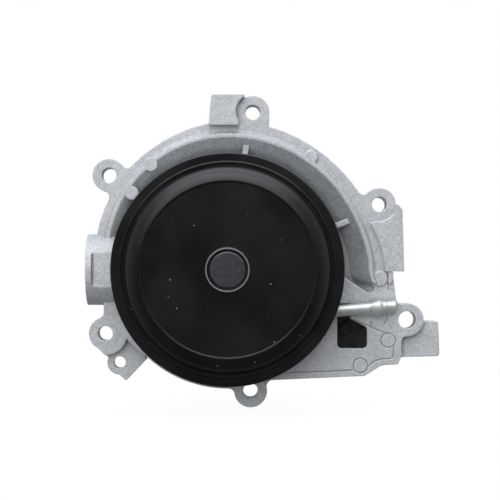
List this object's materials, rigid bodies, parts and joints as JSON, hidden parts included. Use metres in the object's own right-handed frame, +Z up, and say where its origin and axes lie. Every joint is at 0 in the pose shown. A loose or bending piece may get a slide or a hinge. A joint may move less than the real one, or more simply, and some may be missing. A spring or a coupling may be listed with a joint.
{
  "type": "engine coolant pump",
  "caption": "Belt-driven engine coolant pump: cast housing, black pulley on a sealed bearing, covered impeller and a vacuum-operated shutter sleeve.",
  "frame": {"origin": "on the shaft axis, in the plane of the gasket face", "axes": "+Y along the shaft from the pulley into the engine, +Z up towards the top bolt, +X to the right as seen from the pulley"},
  "size_m": [0.1903, 0.0807, 0.1682],
  "materials": {
    "cast_aluminium": "as-cast, fine grain",
    "black_coated_steel": "satin black coating",
    "zinc_steel": "zinc plated",
    "bearing_steel": "ground",
    "stainless_steel": "drawn sheet",
    "spring_steel": "drawn wire",
    "black_rubber": "moulded",
    "black_plastic": "moulded",
    "brown_plastic": "moulded",
    "carbon": "lapped",
    "ceramic": "lapped"
  },
  "bodies": {
    "housing": {"pump_housing": "cast_aluminium", "bearing_outer_ring": "bearing_steel", "front_bearing_seal": "black_rubber", "rear_bearing_seal": "black_rubber", "seal_cup": "stainless_steel", "seal_bellows": "black_rubber", "seal_spring": "spring_steel", "carbon_ring": "carbon", "actuator_cover": "stainless_steel", "cover_screws": "zinc_steel", "rod_bushes": "brown_plastic", "diaphragm": "black_rubber", "inner_bead_band": "stainless_steel", "outer_bead_band": "stainless_steel", "return_springs": "spring_steel", "core_plug": "stainless_steel", "gasket": "black_rubber", "pocket_insert": "black_plastic", "vacuum_pipe": "zinc_steel"},
    "rotor": {"bearing_shaft": "bearing_steel", "pulley": "black_coated_steel", "belt_ring": "black_coated_steel", "impeller": "brown_plastic", "impeller_bush": "stainless_steel", "counter_ring": "ceramic", "counter_ring_boot": "black_rubber"},
    "ball_set": {"bearing_balls": "bearing_steel", "ball_cage": "brown_plastic"},
    "roller_set": {"bearing_rollers": "bearing_steel", "roller_cage": "brown_plastic"},
    "shutter": {"shutter_sleeve": "stainless_steel", "push_rods": "stainless_steel", "vacuum_piston": "stainless_steel", "piston_clamp_ring": "stainless_steel"}
  },
  "joints": [
    {"name": "rotor_spin", "type": "hinge", "parent": "housing", "child": "rotor", "pos_m": [0, 0, 0], "axis": [0, 1, 0], "continuous": true},
    {"name": "ball_orbit", "type": "hinge", "parent": "housing", "child": "ball_set", "pos_m": [0, 0, 0], "axis": [0, 1, 0], "continuous": true},
    {"name": "roller_orbit", "type": "hinge", "parent": "housing", "child": "roller_set", "pos_m": [0, 0, 0], "axis": [0, 1, 0], "continuous": true},
    {"name": "shutter_slide", "type": "slide", "parent": "housing", "child": "shutter", "axis": [0, 1, 0], "range_m": [0, 0.009], "stiffness_N_per_m": 11300, "springref_m": -0.0035, "deforming": ["diaphragm", "return_springs"]}
  ],
  "couplings": [
    {"joint": "ball_orbit", "follows": "rotor_spin", "ratio": 0.3667},
    {"joint": "roller_orbit", "follows": "rotor_spin", "ratio": 0.3875}
  ]
}
